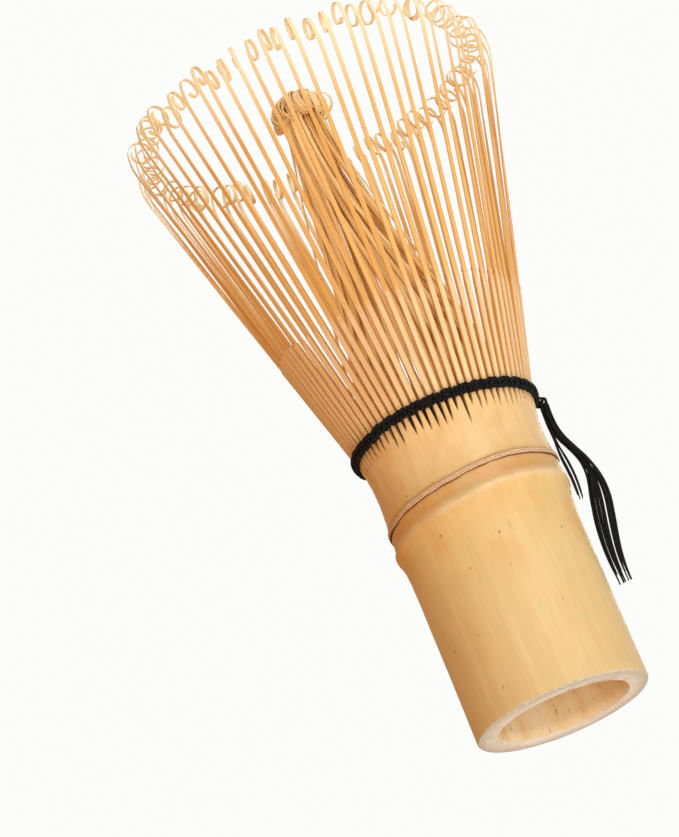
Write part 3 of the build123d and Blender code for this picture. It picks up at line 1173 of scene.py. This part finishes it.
def paleFloor():
    # painted board, rolled matt white: near-white and faintly mottled; it shows only from above
    material, tree, shader = startMaterial("paintedBoardMattWhite")
    place = addNode(tree, "TexCoord").outputs["Object"]
    mottle = addNode(tree, "TexNoise", {"Scale": perMetre(40), "Detail": 3}, {"Vector": place})
    shade = ramp(addNode(tree, "ValToRGB", links={"Fac": mottle}), [(0.3, "#EEF2F9"), (0.7, "#F2F6FC")])
    settle(tree, shader, {"Roughness": 0.9}, {"Base Color": shade})
    clear = addNode(tree, "BsdfTransparent")
    facing = addNode(tree, "NewGeometry").outputs["Backfacing"]
    both = addNode(tree, "MixShader", links={0: facing, 1: shader, 2: clear})
    tree.links.new(both.outputs["Shader"], tree.nodes["Material Output"].inputs["Surface"])
    return material


def buildFloor(s):
    mesh = bpy.data.meshes.new("floor")
    half, low = s["half"] * mm, -s["below"] * mm
    corners = [(-half, -half, low), (half, -half, low), (half, half, low), (-half, half, low)]
    mesh.from_pydata(corners, [], [(0, 1, 2, 3)])
    mesh.materials.append(paleFloor())
    floor = bpy.data.objects.new("floor", mesh)
    bpy.context.scene.collection.objects.link(floor)
    floor.visible_diffuse = False
    floor.visible_glossy = False
    floor.visible_shadow = False


buildFloor(floorSettings)

lampSettings = {
    # aim is the height on the whisk's axis that the lamp points at
    "keySoftbox": {"place": (260, -420, 300), "aim": 60, "size": 240, "watts": 0.84, "colour": "#FFFCF4"},
    "frontFill": {"place": (-80, -560, 120), "aim": 80, "size": 360, "watts": 0.4, "colour": "#FFF6E8"},
    "lowFill": {"place": (60, -220, -420), "aim": 10, "size": 300, "watts": 1.5, "colour": "#FDFDFB"},
    "backLight": {"place": (60, 420, 300), "aim": 90, "size": 300, "watts": 1.3, "colour": "#FFFCF4"},
}
for name, lampSetting in lampSettings.items():
    data = bpy.data.lights.new(name, "AREA")
    data.size = lampSetting["size"] * mm
    data.energy = lampSetting["watts"]
    data.color = linear(lampSetting["colour"])[:3]
    lamp = bpy.data.objects.new(name, data)
    place = Vector(lampSetting["place"])
    lamp.location = place * mm
    lamp.rotation_mode = "QUATERNION"
    lamp.rotation_quaternion = (up * lampSetting["aim"] - place).to_track_quat("-Z", "Y")
    lamp.visible_camera = False
    bpy.context.scene.collection.objects.link(lamp)

# the room is white above and on the right, warm and dim low on the left, and plain white behind the whisk
roomSettings = {"whiteSide": (0.72, -0.2, 0.66), "background": "#FCFCFB", "strength": 0.7}
room = bpy.data.worlds.new("studioRoom")
bpy.context.scene.world = room
room.use_nodes = True
tree = room.node_tree
rays = addNode(tree, "LightPath").outputs["Is Camera Ray"]
direction = addNode(tree, "TexCoord").outputs["Generated"]
towards = {"operation": "DOT_PRODUCT", 1: roomSettings["whiteSide"]}
slope = addNode(tree, "VectorMath", towards, {0: direction})
share = addNode(tree, "MapRange", {"From Min": -1, "From Max": 1}, {"Value": slope})
walls = ramp(addNode(tree, "ValToRGB", links={"Fac": share}), [
    (0.0, "#B66C34"), (0.26, "#E8A864"), (0.46, "#E6D0AE"), (0.62, "#F5F2EA"), (1.0, "#F9F9F7"),
])
plain = {"data_type": "RGBA", "B": roomSettings["background"]}
seen = addNode(tree, "Mix", plain, {"Factor": rays, "A": walls})
bright = addNode(tree, "MapRange", {"To Min": roomSettings["strength"], "To Max": 1}, {"Value": rays})
settle(tree, tree.nodes["Background"], links={"Color": seen, "Strength": bright})
bpy.context.scene.view_settings.view_transform = "Standard"
print("floor and lights set")
